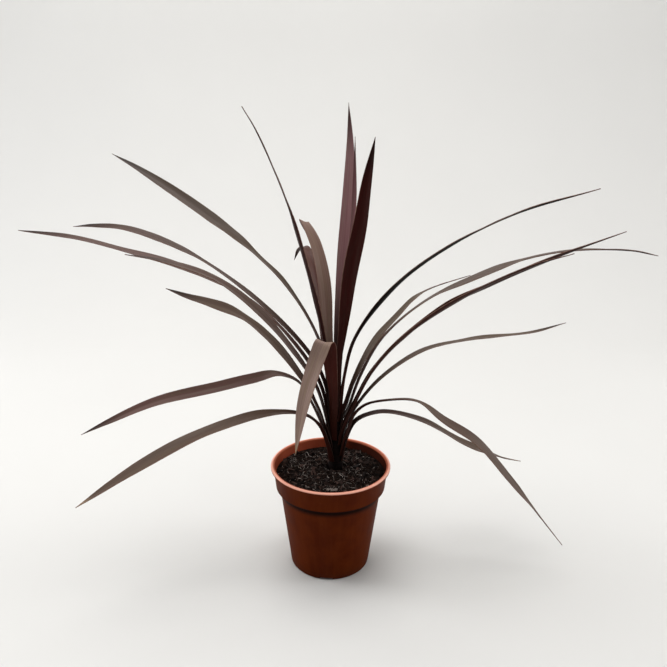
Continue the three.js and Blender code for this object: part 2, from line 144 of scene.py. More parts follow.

# The leaves, roughly from the lowest to the highest on the stem. Each has its azimuth, the height that it
# springs from, its width, its tint of (lightness, olive, red), its rolls at even steps from foot to tip, and
# its path of (reach, height, aside) from the stem's axis. The lightness is partly the leaf's own tone and
# partly painted light, lighter for blades that face the light and darker for those turned away. Some have
# their own wrap round the stem, belly, taper or waist, or their own length of dark foot, which is painted
# shade where the blades crowd round the stem. A dry share gives a leaf a tan tip.
LEAVES = [
    dict(azimuth=10, springs=118, width=14, tint=(0.85, 0.8, 0.2), foot=0.74, dry=0.8,
         rolls=[0, 0, 10, 4, 4, 8, 8, 8, 12, 12, 2, -12, -15],
         path=[(21, 161), (37, 169), (57, 170.5), (97, 158), (147, 127), (195, 104), (219, 97)]),
    dict(azimuth=209, springs=118, width=14, tint=(0.85, 0.9, 0.3), dry=0.9,
         rolls=[0, 0, 0, -9, -30, -22, -16, -18, -20, -15, -10],
         path=[(20, 162), (33, 176), (55, 185), (86, 190), (110, 189), (157, 181), (211, 163), (273, 135)]),
    dict(azimuth=353, springs=124.5, width=12, belly=0.55, taper=1.8,
         tint=(1.05, 0.5, 0.2), foot=0.36, dry=0.6,
         rolls=[0, -14, -24, -19, -10, 20, 24, 27, 28, 24, 5, 0, 0],
         path=[(14.5, 157), (20, 173), (32, 185), (52, 191), (86, 192), (116, 172), (151, 150),
               (188, 109), (252, 31)]),
    dict(azimuth=186, springs=124.5, width=12, belly=0.5, taper=3.2, tint=(1.05, 0.2, 0.6),
         rolls=[0, 0, 4, 8, -6, -52, -50, -46, -46, -44, -42, -42, -42],
         path=[(17, 164), (25, 183), (38.6, 208.5), (62, 220), (90, 215.5), (126, 207.2), (189, 193.2),
               (240, 171.7), (269, 157.7)]),
    dict(azimuth=17, springs=131, width=9, tint=(0.85, 0.8, 0.1),
         rolls=[0, 5, 10, 10, 10, 6, -4, 4, 0, 0, 0],
         path=[(13, 160, 1), (23, 177, 1.5), (49.4, 207.6), (96, 235), (152, 243.5), (233, 245.3),
               (277, 253)]),
    dict(azimuth=204, springs=131, width=14, wrap=42, tint=(0.85, 0.6, 0.15), foot=0.46,
         rolls=[0, -10, -26, -38, -41, -40, -35, -21, -37, -34, -35],
         path=[(14.5, 165), (25, 190), (37, 215), (72, 265), (106, 296), (134, 310), (154, 318),
               (173, 327.3)]),
    dict(azimuth=122, springs=131, width=12, wrap=36, tint=(1.15, 0.3, 0.8),
         rolls=[0],
         path=[(14.5, 196), (19.5, 230, 1), (39, 290, -2), (61, 327, -5), (85, 339, -10),
               (105, 332, -13), (119, 318, -15)]),
    dict(azimuth=338, springs=137.5, width=8, taper=1.8, tint=(1.6, 0.8, 0),
         rolls=[0, -10, -24, -34, -34, -30, -28, -28, -28],
         path=[(23, 191.2), (41.2, 229), (68.4, 265.2), (124.6, 313.1), (190.5, 352), (224.5, 366)]),
    dict(azimuth=192, springs=137.5, width=14, wrap=40, tint=(0.85, 0.3, 0.3), foot=0.46,
         rolls=[0, -10, -22, -26, -26, -20, -12, -8, -5],
         path=[(18.5, 196), (36, 231), (80, 290), (121, 325), (166, 344), (206, 353)]),
    dict(azimuth=115, springs=138.5, width=15, wrap=34, belly=0.6, tint=(1.6, 0.4, 0.25), foot=0.36,
         rolls=[0, 0, 0, 0, 0, 6, 26, 30],
         path=[(13, 205), (18, 251, 2), (35, 314), (56, 349, 1), (79, 369, 4), (96, 352, -9),
               (104, 330, -19)]),
    dict(azimuth=247, springs=143, width=18, wrap=36, belly=0.5, waist=0.57, tint=(2.3, 0.1, 0.05), dry=1,
         rolls=[0],
         path=[(13, 182, 2), (18, 212, 3), (26, 242, 3), (34, 264, 3), (38.5, 265, 2), (44, 248, -3.4),
               (64, 205, -8.9), (86, 162, -7)]),
    dict(azimuth=345, springs=143.5, width=12, tint=(1.15, 0.5, 0.1), foot=0.62,
         rolls=[0, -8, -22, -34, -30, -30, -28, -22, -20],
         path=[(20, 189), (38, 225.3), (67, 262.6), (112, 303.6), (152, 326.2), (209, 356.6),
               (267, 383.6)]),
    dict(azimuth=170, springs=144, width=13, wrap=38, tint=(0.82, 0.1, 0.5), foot=0.34,
         rolls=[0, -10, -10, -5, 8, 14, -2, -8, -9, -4, -5, -15, -30],
         path=[(16.5, 201), (35, 235), (88, 291), (130, 312), (181, 330), (232, 341.3), (288, 352.3),
               (352, 357.5)]),
    dict(azimuth=7, springs=151, width=12, tint=(0.76, 0.4, 0.1), foot=0.34,
         rolls=[0, 0, -4, -10, -9, -6, 8, 12, -6, -8, -8, -13, -32],
         path=[(12.5, 176), (25.7, 215.2), (48.9, 257.9), (95.5, 298), (140, 318.4), (194, 338),
               (248, 347), (312, 346), (344, 340)]),
    dict(azimuth=160, springs=150.5, width=11.5, tint=(0.75, 0.3, 0.3),
         rolls=[0, -5, -9, -10, -10, 0, 8, 9, -4, -15, -24, -36, -40],
         path=[(13.5, 205), (30, 235), (87, 287), (164, 331.5), (246, 356), (296, 357), (325, 354)]),
    dict(azimuth=27, springs=157, width=11, belly=0.42, taper=1.8, tint=(0.8, 0.8, 0), foot=0.4,
         rolls=[0, 8, 13, 14, 2, 0, -2, 2, -4, -23, -20, -8, 0],
         path=[(11, 180), (21, 207), (45, 248), (72.5, 273.5), (92.5, 290.3), (115, 299.5), (168, 309)]),
    dict(azimuth=156, springs=157, width=13, belly=0.62, taper=2.5, tint=(0.66, 0.7, 0.1),
         rolls=[0, 0, 8, 18, 12, 2, 12, -12, -36, -38, -38, -38, -40],
         path=[(12, 220), (23, 257), (62, 312), (90, 334.5), (115, 353), (170, 385), (242, 421),
               (278, 436)]),
    dict(azimuth=336, springs=164.5, width=11, tint=(0.1, 0.6, 0.4),
         rolls=[0, 0, -15, -24, -20, -10, -3, -12, -12],
         path=[(9.5, 218), (20.8, 260.8), (59, 317.3), (110, 361.5), (170, 397.5), (240, 424)]),
    dict(azimuth=212, springs=163.5, width=11, belly=0.45, tint=(0.9, 0.2, 1),
         rolls=[0, 0, 0, 0, -3, -9, -22, -19, -15],
         path=[(11, 230), (21, 282), (37, 340), (58.8, 405), (88, 467), (101, 487)]),
    dict(azimuth=85, springs=170, width=13, taper=1.8, tint=(2.8, 0, 0.5), foot=0.6,
         rolls=[0],
         path=[(10.8, 253, 0.5), (17.5, 327, -2.5), (23, 398, -7.7), (29, 451, -8.6), (35, 492, -6)]),
    dict(azimuth=300, springs=171, width=18, belly=0.56, taper=2.5, waist=0.46, tint=(1.2, 0, 0.7),
         rolls=[0],
         path=[(7.5, 232, -1.8), (13, 265, -1.2), (20, 324, 1.8), (30, 380, 7), (39, 423, 8),
               (49, 462, 9)]),
    dict(azimuth=60, springs=177, width=6, taper=1.8, tint=(1.2, 0, 1), foot=0.6,
         rolls=[0],
         path=[(8, 254, -2), (14, 328, -5.5), (22, 399, -5.6), (28, 460, -2)]),
]
MAUVE_LEAVES = (20, 22)
LOWEST_SPRING = LEAVES[0]["springs"]
HIGHEST_SPRING = LEAVES[-1]["springs"]

# The floor, in metres
FLOOR_SIZE = 6
FLOOR_Y = -1.6
SWEEP_HEIGHT = 3
SWEEP_RADIUS = 0.7


# Camera and light

def place_camera():
    """The photograph's view: 17.7 degrees down, from a little under half a metre up."""
    camera = bpy.data.cameras.new("camera")
    camera.sensor_width = SENSOR_WIDTH
    camera.lens = LENS
    holder = bpy.data.objects.new("camera", camera)
    bpy.context.scene.collection.objects.link(holder)
    pitch = math.radians(90 - LOOKS_DOWN)
    roll = math.radians(CAMERA_ROLL)
    place = Matrix.Translation(Vector(CAMERA_PLACE) * MM)
    holder.matrix_world = place @ Matrix.Rotation(pitch, 4, "X") @ Matrix.Rotation(roll, 4, "Z")
    bpy.context.scene.camera = holder


def soft_light(name, place, aim, size, watts, colour=(1, 1, 1)):
    lamp = bpy.data.lights.new(name, "AREA")
    lamp.shape = "RECTANGLE"
    lamp.size, lamp.size_y = size
    lamp.energy = watts
    lamp.color = colour
    holder = bpy.data.objects.new(name, lamp)
    bpy.context.scene.collection.objects.link(holder)
    holder.location = place
    holder.rotation_euler = (Vector(aim) - Vector(place)).to_track_quat("-Z", "Y").to_euler()


def light_studio():
    """Broad soft light from above and a little behind, a weaker one from each side, and a dim room."""
    soft_light("overhead", (-0.25, 0.2, 1.9), (0, 0, 0.2), (1.8, 1.3), 31, (1.0, 0.985, 0.965))
    soft_light("left_window", (-1.8, 0.3, 0.9), (0, 0, 0.25), (0.9, 1.2), 15, (0.97, 0.985, 1.0))
    soft_light("right_fill", (1.8, 0.1, 0.9), (0, 0, 0.2), (0.9, 1.2), 14)
    world = bpy.data.worlds.new("room")
    world.use_nodes = True
    world.node_tree.nodes["Background"].inputs["Color"].default_value = (0.83, 0.83, 0.82, 1)
    world.node_tree.nodes["Background"].inputs["Strength"].default_value = 0.28
    bpy.context.scene.world = world
    bpy.context.scene.view_settings.view_transform = "Standard"


# Hand tools

def deselect():
    if bpy.context.mode != "OBJECT":
        bpy.ops.object.mode_set(mode="OBJECT")
    bpy.ops.object.select_all(action="DESELECT")


def pick(*objects):
    deselect()
    for item in objects:
        item.select_set(True)
    bpy.context.view_layer.objects.active = objects[0]


def new_piece(name):
    """The object that was just made, under its own name."""
    piece = bpy.context.object
    piece.name = piece.data.name = name
    return piece


def modify(piece, kind, **settings):
    """Adds one modifier and applies it."""
    modifier = piece.modifiers.new(kind.lower(), kind)
    for key, value in settings.items():
        setattr(modifier, key, value)
    pick(piece)
    bpy.ops.object.modifier_apply(modifier=modifier.name)


def settle_in_place(piece):
    """Puts the piece's place into its mesh."""
    pick(piece)
    bpy.ops.object.transform_apply(location=True, rotation=True, scale=True)


def smooth(piece, degrees):
    pick(piece)
    bpy.ops.object.shade_smooth_by_angle(angle=math.radians(degrees))


def hand_over(piece, slot, *nodes):
    """The piece rides on the frame's body and stands for its nodes. The slot is not used."""
    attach(piece, BODY)
    if nodes:
        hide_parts(*nodes)


def open_mesh(kind="VERT"):
    """Goes into the active piece's mesh, with all of it picked."""
    bpy.ops.object.mode_set(mode="EDIT")
    bpy.ops.mesh.select_mode(type=kind)
    bpy.ops.mesh.select_all(action="SELECT")


def close_mesh():
    bpy.ops.object.mode_set(mode="OBJECT")


def extrude(way):
    bpy.ops.mesh.extrude_region_move(TRANSFORM_OT_translate={"value": way})


def draw_in(factor, centre):
    """Scales what is picked towards a centre, and keeps its height."""
    bpy.ops.transform.resize(value=(factor, factor, 1), center_override=centre)


def mark(piece, name, *value):
    """Gives every point of the mesh the same number or colour, for a material to read by its name."""
    kind, field = ("FLOAT", "value") if len(value) == 1 else ("FLOAT_COLOR", "color")
    attribute = piece.data.attributes.new(name, kind, "POINT")
    attribute.data.foreach_set(field, value * len(piece.data.vertices))


def spun(name, outline, steps):
    """Extrudes one corner along an outline of (radius, height), and spins it about the upright axis."""
    radius, height = outline[0]
    deselect()
    bpy.ops.mesh.primitive_plane_add(size=MM, location=(radius * MM, 0, height * MM))
    piece = new_piece(name)
    settle_in_place(piece)
    open_mesh()
    bpy.ops.mesh.merge(type="CENTER")
    for (r0, z0), (r1, z1) in zip(outline, outline[1:]):
        extrude(((r1 - r0) * MM, 0, (z1 - z0) * MM))
    bpy.ops.mesh.select_all(action="SELECT")
    bpy.ops.mesh.spin(steps=steps, angle=2 * math.pi, center=(0, 0, 0), axis=(0, 0, 1))
    bpy.ops.mesh.select_all(action="SELECT")
    bpy.ops.mesh.remove_doubles(threshold=0.01 * MM)
    bpy.ops.mesh.normals_make_consistent(inside=False)
    close_mesh()
    return piece


def arc(centre, radii, start, end, steps):
    """Points of (radius, height) round an ellipse from one angle to another, in degrees."""
    points = []
    for i in range(steps + 1):
        angle = math.radians(start + (end - start) * i / steps)
        points.append((centre[0] + radii[0] * math.cos(angle), centre[1] + radii[1] * math.sin(angle)))
    return points


# Material tools

def material(name):
    """A new material, its tree of nodes and its shader."""
    made = bpy.data.materials.new(name)
    made.use_nodes = True
    return made, made.node_tree, made.node_tree.nodes["Principled BSDF"]


def feed(tree, socket, value):
    """Sets an input to a value, or joins it to another node's output."""
    if isinstance(value, bpy.types.NodeSocket):
        tree.links.new(value, socket)
    else:
        socket.default_value = value


def node(tree, kind, inputs=None, **settings):
    """Adds a node with its settings and inputs."""
    made = tree.nodes.new("ShaderNode" + kind)
    for key, value in settings.items():
        setattr(made, key, value)
    for key, value in (inputs or {}).items():
        feed(tree, made.inputs[key], value)
    return made


def mix(tree, share, first, second, how="MIX"):
    """Two colours mixed by a share."""
    made = tree.nodes.new("ShaderNodeMix")
    made.data_type = "RGBA"
    made.blend_type = how
    share_input, first_input, second_input = (made.inputs[i] for i in (0, 6, 7))
    feed(tree, share_input, share)
    for socket, colour in ((first_input, first), (second_input, second)):
        feed(tree, socket, (*colour, 1) if isinstance(colour, tuple) else colour)
    return made.outputs[2]


def calculate(tree, how, first, second=0.0, third=0.0):
    return node(tree, "Math", {0: first, 1: second, 2: third}, operation=how).outputs[0]


def times(tree, first, second):
    return calculate(tree, "MULTIPLY", first, second)


def spread(tree, value, low, high, to_low=0.0, to_high=1.0):
    """The value's range from low to high, eased onto another range."""
    inputs = {0: value, 1: low, 2: high, 3: to_low, 4: to_high}
    return node(tree, "MapRange", inputs, interpolation_type="SMOOTHSTEP").outputs[0]


def noise(tree, place, scale, detail=3.0, roughness=0.55):
    inputs = {"Vector": place, "Scale": scale, "Detail": detail, "Roughness": roughness}
    return node(tree, "TexNoise", inputs).outputs["Fac"]


def raise_surface(tree, shader, height, distance, strength=1.0):
    """Fine relief that only the light sees."""
    bump = node(tree, "Bump", {"Height": height, "Distance": distance, "Strength": strength})
    tree.links.new(bump.outputs["Normal"], shader.inputs["Normal"])


def coat(tree, shader, colour, roughness, gloss=0.5):
    """Gives the shader its colour, roughness and gloss."""
    feed(tree, shader.inputs["Base Color"], colour)
    feed(tree, shader.inputs["Roughness"], roughness)
    feed(tree, shader.inputs["Specular IOR Level"], gloss)


# Pot

def pot_material(name, deep, fresh, streaked):
    """Terracotta-coloured plastic with a lighter lip top and a painted highlight on its outer edge, a
    painted shadow under the step, and painted shade on the right of the inner wall.
    """
    made, tree, shader = material(name)
    place = node(tree, "TexCoord").outputs["Object"]
    parts = node(tree, "SeparateXYZ", {0: place})
    right, height = parts.outputs["X"], parts.outputs["Z"]
    level = node(tree, "VectorMath", {0: place, 1: (1, 1, 0)}, operation="MULTIPLY").outputs[0]
    radius = node(tree, "VectorMath", {0: level}, operation="LENGTH").outputs["Value"]
    mottle = noise(tree, place, 45, 4)
    fine = noise(tree, place, 900, 2)
    flow = node(tree, "Mapping", {"Vector": place, "Scale": (160, 160, 12)}).outputs[0]
    streaks = noise(tree, flow, 1, 3)
    body = mix(tree, spread(tree, mottle, 0.3, 0.7), deep, fresh)
    body = mix(tree, spread(tree, streaks, 0.35, 0.75, 0, 0.3), body, streaked)
    # Painted shadow: a dark band on the body just under the collar's step.
    below_step = spread(tree, height, (STEP_Z - 11) * MM, (STEP_Z - 4) * MM)
    above_step = spread(tree, height, (STEP_Z + 0.3) * MM, (STEP_Z + 1.6) * MM, 1, 0)
    painted_step_shadow = times(tree, below_step, above_step)
    body = mix(tree, times(tree, painted_step_shadow, 0.95), body, (0.006, 0.0022, 0.0018))
    # Painted light: the lip's top is made lighter, with a pink painted highlight along its outer edge.
    lip = spread(tree, height, (POT_HEIGHT - 1.9) * MM, (POT_HEIGHT - 0.9) * MM)
    body = mix(tree, lip, body, (0.46, 0.135, 0.078))
    painted_rim_highlight = spread(tree, radius, (RIM_RADIUS - 2.9) * MM, (RIM_RADIUS - 1.4) * MM, 0, 0.95)
    body = mix(tree, times(tree, lip, painted_rim_highlight), body, (0.92, 0.46, 0.35))
    # Painted shade: the inner wall is darkened on its right side, between the compost and the lip.
    flare = (COLLAR_TOP_RADIUS - COLLAR_BOTTOM_RADIUS) / (POT_HEIGHT - LIP_HEIGHT - STEP_Z)
    upright = calculate(tree, "MULTIPLY_ADD", height, -flare, radius)
    inner = COLLAR_BOTTOM_RADIUS - WALL - flare * STEP_Z
    inside = spread(tree, upright, (inner + 0.3) * MM, (inner + 0.9) * MM, 1, 0)
    shaded_right_side = spread(tree, right, -8 * MM, 30 * MM, 0, 0.88)
    above_filling = spread(tree, height, (SOIL_EDGE_Z - 9) * MM, (SOIL_EDGE_Z - 5) * MM)
    below_lip = spread(tree, height, (POT_HEIGHT - 2.6) * MM, (POT_HEIGHT - 1.4) * MM, 1, 0)
    painted_wall_shade = times(tree, times(tree, inside, shaded_right_side), times(tree, above_filling, below_lip))
    body = mix(tree, painted_wall_shade, body, (0.010, 0.0035, 0.0026))
    scratches = spread(tree, noise(tree, place, 260, 6, 0.7), 0.62, 0.72)
    scuffs = times(tree, scratches, spread(tree, mottle, 0.45, 0.6, 0, 0.3))
    body = mix(tree, scuffs, body, (0.20, 0.075, 0.04))
    foot = spread(tree, height, 1 * MM, 9 * MM, 0.4, 0)
    dust = times(tree, foot, spread(tree, fine, 0.35, 0.65))
    body = mix(tree, dust, body, (0.07, 0.03, 0.018))
    coat(tree, shader, body, spread(tree, mottle, 0.3, 0.7, 0.46, 0.58), 0.02)
    raise_surface(tree, shader, calculate(tree, "MULTIPLY_ADD", streaks, 0.6, fine), 0.05 * MM, 0.5)
    return made


def inside_outline(gap):
    """The pot's inside from its floor to the lip, drawn in by a gap."""
    inset = WALL + gap
    return [
        (FOOT_RADIUS - inset, FLOOR_Z + gap),
        (BODY_TOP_RADIUS - inset, STEP_Z + gap),
        (COLLAR_BOTTOM_RADIUS - inset, STEP_Z + WALL + gap),
        (COLLAR_TOP_RADIUS - inset, POT_HEIGHT - LIP_HEIGHT),
    ]


def cut(piece, cutter):
    modify(piece, "BOOLEAN", object=cutter, operation="DIFFERENCE", solver="EXACT")
    bpy.data.objects.remove(cutter)


def make_pot():
    """The moulding, spun as one wall, with its drainage holes and the notches in its foot cut out."""
    lip_middle = RIM_RADIUS - LIP_DEPTH / 2
    under_lip = POT_HEIGHT - LIP_HEIGHT
    outline = [(0, FOOT_RISE), (FOOT_RADIUS - FOOT_WIDTH, FOOT_RISE), (FOOT_RADIUS - FOOT_WIDTH, 0)]
    outline += arc((FOOT_RADIUS - FOOT_ROUND, FOOT_ROUND), (FOOT_ROUND, FOOT_ROUND), -90, 0, 6)
    outline += arc((BODY_TOP_RADIUS + STEP_ROUND_OUT, STEP_Z - STEP_ROUND_DOWN),
                   (STEP_ROUND_OUT, STEP_ROUND_DOWN), 180, 90, 4)
    outline += arc((COLLAR_BOTTOM_RADIUS - COLLAR_ROUND, STEP_Z + COLLAR_ROUND),
                   (COLLAR_ROUND, COLLAR_ROUND), -90, 0, 5)
    outline += [(COLLAR_TOP_RADIUS, under_lip)]
    outline += arc((RIM_RADIUS - RIM_ROUND, under_lip + RIM_ROUND), (RIM_ROUND, RIM_ROUND), -90, 0, 4)
    outline += arc((lip_middle, POT_HEIGHT - LIP_ROUND), (LIP_DEPTH / 2, LIP_ROUND), 0, 180, 12)
    outline += inside_outline(0)[::-1] + [(0, FLOOR_Z)]
    pot = spun("pot_moulding", outline, 144)
    for i in range(DRAIN_HOLES):
        angle = math.radians(NOTCH_AZIMUTH + 360 / DRAIN_HOLES * (i + 0.5))
        place = Vector((DRAIN_CIRCLE * math.cos(angle), DRAIN_CIRCLE * math.sin(angle), FOOT_RISE))
        deselect()
        bpy.ops.mesh.primitive_cylinder_add(vertices=32, radius=DRAIN_RADIUS * MM, depth=8 * MM,
                                            location=place * MM)
        cut(pot, bpy.context.object)
    for i in range(NOTCHES):
        angle = math.radians(NOTCH_AZIMUTH + 360 / NOTCHES * i)
        place = Vector((math.cos(angle), math.sin(angle), 0)) * (FOOT_RADIUS - FOOT_WIDTH / 2)
        deselect()
        bpy.ops.mesh.primitive_cube_add(size=1, location=place * MM, rotation=(0, 0, angle),
                                        scale=Vector((3 * FOOT_WIDTH, NOTCH_WIDTH, 2 * NOTCH_HEIGHT)) * MM)
        cut(pot, bpy.context.object)
    modify(pot, "BEVEL", width=CUT_EDGE_BEVEL * MM, segments=2,
           limit_method="ANGLE", angle_limit=math.radians(50))
    smooth(pot, 35)
    # The plastic is one colour inside and out: the outside is given darker colours as painted shade, and the
    # inside a lighter copy as painted light.
    pot.data.materials.append(pot_material("pot_plastic", (0.074, 0.0100, 0.0014), (0.096, 0.0155, 0.0022),
                                           (0.116, 0.0240, 0.0045)))
    pot.data.materials.append(pot_material("pot_inside_lit_copy", (0.330, 0.062, 0.028), (0.390, 0.080, 0.038),
                                           (0.420, 0.105, 0.055)))
    for face in pot.data.polygons:
        outward = face.center.x * face.normal.x + face.center.y * face.normal.y
        face.material_index = 1 if outward < 0 and face.center.z > STEP_Z * MM else 0
    hand_over(pot, "pot_plastic", "pot")


# Compost

def crumb_colour(tree, place):
    """Peat from black to red-brown, as crumbs a millimetre or two across."""
    grain = noise(tree, place, 420, 5, 0.7)
    patch = noise(tree, place, 60, 3)
    dark = mix(tree, spread(tree, patch, 0.35, 0.65), (0.003, 0.0016, 0.0012), (0.008, 0.0042, 0.0028))
    return mix(tree, spread(tree, grain, 0.45, 0.72), dark, (0.030, 0.0145, 0.009))


def compost_material():
    made, tree, shader = material("compost")
    place = node(tree, "TexCoord").outputs["Object"]
    coat(tree, shader, crumb_colour(tree, place), 0.9, 0.08)
    raise_surface(tree, shader, noise(tree, place, 600, 6, 0.7), 0.8 * MM)
    return made


def scrap_material(name, dark, light, roughness):
    """Crumbs, chips or fibres, each with its own tone from the piece's attribute."""
    made, tree, shader = material(name)
    place = node(tree, "TexCoord").outputs["Object"]
    tone = node(tree, "Attribute", attribute_name="tone").outputs["Fac"]
    grain = noise(tree, place, 900, 4, 0.7)
    colour = mix(tree, tone, dark, light)
    colour = mix(tree, spread(tree, grain, 0.3, 0.7, 0, 0.45), colour, dark)
    coat(tree, shader, colour, roughness, 0.12)
    raise_surface(tree, shader, grain, 0.3 * MM)
    return made


def soil_surface(edge_radius):
    """Nested rings from the pot's wall to the hole for the stem, and the hole itself."""
    hole_radius = STEM_COLLAR_RADIUS + CLEARANCE
    deselect()
    bpy.ops.mesh.primitive_circle_add(vertices=SOIL_SIDES, radius=edge_radius * MM,
                                      location=(0, 0, SOIL_EDGE_Z * MM))
    soil = new_piece("compost_bed")
    settle_in_place(soil)
    open_mesh("EDGE")
    bpy.ops.object.vertex_group_add()
    centre = Vector((STEM_X, STEM_Y, SOIL_EDGE_Z)) * MM
    radius = edge_radius
    height = 0.0
    for i in range(1, SOIL_RINGS + 1):
        t = i / SOIL_RINGS
        smaller = edge_radius + (hole_radius - edge_radius) * t
        dome = SOIL_CROWN * t ** DOME_SHARPNESS
        hollow = HOLLOW_DEPTH * math.exp(-(((smaller - hole_radius) / HOLLOW_WIDTH) ** 2))
        rise = dome - hollow
        extrude((0, 0, (rise - height) * MM))
        draw_in(smaller / radius, centre)
        if i < SOIL_RINGS:
            bpy.ops.object.vertex_group_assign()
        radius = smaller
        height = rise
    extrude((0, 0, -HOLE_DEPTH * MM))
    bpy.ops.mesh.edge_face_add()
    bpy.ops.mesh.select_all(action="DESELECT")
    close_mesh()
    return soil


def soil_sides(soil, edge_radius, wall):
    """Carries the outer edge down along the pot's inside and closes it at the bottom."""
    at_wall = set()
    for vertex in soil.data.vertices:
        place = vertex.co
        if abs(place.xy.length - edge_radius * MM) < 1e-6 and abs(place.z - SOIL_EDGE_Z * MM) < 1e-6:
            at_wall.add(vertex.index)
    for edge in soil.data.edges:
        edge.select = at_wall.issuperset(edge.vertices)
    bpy.ops.object.mode_set(mode="EDIT")
    radius, height = edge_radius, SOIL_EDGE_Z
    for lower_radius, lower_height in wall[2::-1]:
        extrude((0, 0, (lower_height - height) * MM))
        draw_in(lower_radius / radius, (0, 0, lower_height * MM))
        radius, height = lower_radius, lower_height
    bpy.ops.mesh.edge_face_add()
    bpy.ops.mesh.select_all(action="SELECT")
    bpy.ops.mesh.normals_make_consistent(inside=False)
    close_mesh()


def make_compost():
    """The bed of compost, with crumbly relief on top."""
    wall = inside_outline(SOIL_GAP)
    share = (SOIL_EDGE_Z - STEP_Z) / (POT_HEIGHT - LIP_HEIGHT - STEP_Z)
    edge_radius = wall[2][0] + share * (wall[3][0] - wall[2][0]) - SOIL_EDGE_INSET
    soil = soil_surface(edge_radius)
    soil_sides(soil, edge_radius, wall)
    for size, strength in SOIL_RELIEF:
        relief = bpy.data.textures.new("relief", "CLOUDS")
        relief.noise_scale = size * MM
        relief.noise_depth = 2
        modify(soil, "DISPLACE", texture=relief, strength=strength * MM, mid_level=0.5, direction="Z",
               vertex_group=soil.vertex_groups[0].name)
    smooth(soil, 50)
    soil.data.materials.append(compost_material())
    hand_over(soil, "compost", "compost")
    return soil


def fall_on(soil, x, y):
    """Where something dropped at x and y meets the compost, and which way the compost faces there."""
    found, place, normal, _ = soil.ray_cast(Vector((x, y, ABOVE_ALL_SOIL * MM)), Vector((0, 0, -1)))
    return found, place, normal


def lay_places(count, sizes, lift, chance, soil, reach, ring, arc_ends):
    """Random places on the compost, with their own size, turn and lean. A ring keeps them near the wall."""
    places = []
    while len(places) < count:
        angle = math.radians(chance.uniform(*arc_ends))
        far = reach * math.sqrt(chance.uniform(ring, 1))
        x, y = far * math.cos(angle) * MM, far * math.sin(angle) * MM
        if math.hypot(x - STEM_X * MM, y - STEM_Y * MM) < SCRAPS_CLEAR_OF_STEM * MM:
            continue
        found, place, normal = fall_on(soil, x, y)
        if not found or place.z < LOWEST_SCRAP_Z * MM:
            continue
        size = chance.uniform(*sizes)
        turn = Matrix.Rotation(chance.uniform(0, 2 * math.pi), 4, "Z")
        tip = Matrix.Rotation(chance.gauss(0, SCRAP_TILT), 4, "X")
        tip = tip @ Matrix.Rotation(chance.gauss(0, SCRAP_TILT), 4, "Y")
        lean = normal.to_track_quat("Z", "Y").to_matrix().to_4x4()
        seat = Matrix.Translation(place + Vector((0, 0, lift * size * MM)))
        places.append(seat @ lean @ turn @ tip @ Matrix.Scale(size, 4))
    return places


def scatter(name, patterns, count, sizes, lift, seed, soil, surface,
            reach=57.5, rarity=1.6, ring=0, arc_ends=(0, 360)):
    """Copies of a few patterns laid at random on the compost, each in its own tone, joined as one piece."""
    chance = random.Random(seed)
    laid = []
    for place in lay_places(count, sizes, lift, chance, soil, reach, ring, arc_ends):
        copy = chance.choice(patterns).copy()
        copy.data = copy.data.copy()
        copy.matrix_world = place
        bpy.context.scene.collection.objects.link(copy)
        mark(copy, "tone", chance.random() ** rarity)
        laid.append(copy)
    pick(*laid)
    bpy.ops.object.join()
    piece = new_piece(name)
    settle_in_place(piece)
    piece.data.materials.clear()
    piece.data.materials.append(surface)
    hand_over(piece, "compost")


def crumb_pattern(seed):
    """A broken crumb a millimetre across, from a ball with its corners pushed about."""
    chance = random.Random(seed)
    deselect()
    bpy.ops.mesh.primitive_ico_sphere_add(subdivisions=1, radius=0.5 * MM)
    crumb = new_piece("crumb")
    open_mesh()
    bpy.ops.transform.vertex_random(offset=0.22 * MM, seed=seed)
    stretch = (chance.uniform(0.7, 1.5), chance.uniform(0.6, 1.0), chance.uniform(0.4, 0.8))
    bpy.ops.transform.resize(value=stretch)
    close_mesh()
    return crumb


def chip_pattern(seed):
    """A chip of bark four millimetres long, from a box that is cut across and roughened."""
    chance = random.Random(seed)
    deselect()
    bpy.ops.mesh.primitive_cube_add(size=MM, scale=(4, chance.uniform(1.0, 1.9), chance.uniform(0.35, 0.7)))
    chip = new_piece("chip")
    settle_in_place(chip)
    open_mesh()
    bpy.ops.mesh.subdivide(number_cuts=1)
    bpy.ops.transform.vertex_random(offset=0.2 * MM, seed=seed)
    close_mesh()
    return chip


def fibre_pattern(seed):
    """A bent fibre six millimetres long."""
    chance = random.Random(seed)
    deselect()
    bpy.ops.curve.primitive_bezier_curve_add(radius=3 * MM)
    curve = bpy.context.object
    curve.data.bevel_depth = 0.12 * MM
    curve.data.bevel_resolution = 0
    curve.data.resolution_u = 6
    for point in curve.data.splines[0].bezier_points:
        for handle in (point.handle_left, point.handle_right):
            handle.y += chance.uniform(-2.5, 2.5) * MM
            handle.z += chance.uniform(0, 1.2) * MM
    bpy.ops.object.convert(target="MESH")
    return new_piece("fibre")


def lay_flake(soil, surface):
    """One larger flat flake of bark near the front of the pot."""
    _, place, _ = fall_on(soil, FLAKE_X * MM, FLAKE_Y * MM)
    deselect()
    bpy.ops.mesh.primitive_cylinder_add(vertices=22, radius=MM, depth=MM, location=place)
    flake = new_piece("bark_flake")
    settle_in_place(flake)
    open_mesh()
    bpy.ops.transform.resize(value=FLAKE_SIZE, center_override=place)
    bpy.ops.transform.vertex_random(offset=0.15 * MM, seed=5)
    close_mesh()
    mark(flake, "tone", FLAKE_TONE)
    flake.data.materials.append(surface)
    hand_over(flake, "compost")


def discard(patterns):
    for pattern in patterns:
        bpy.data.objects.remove(pattern)


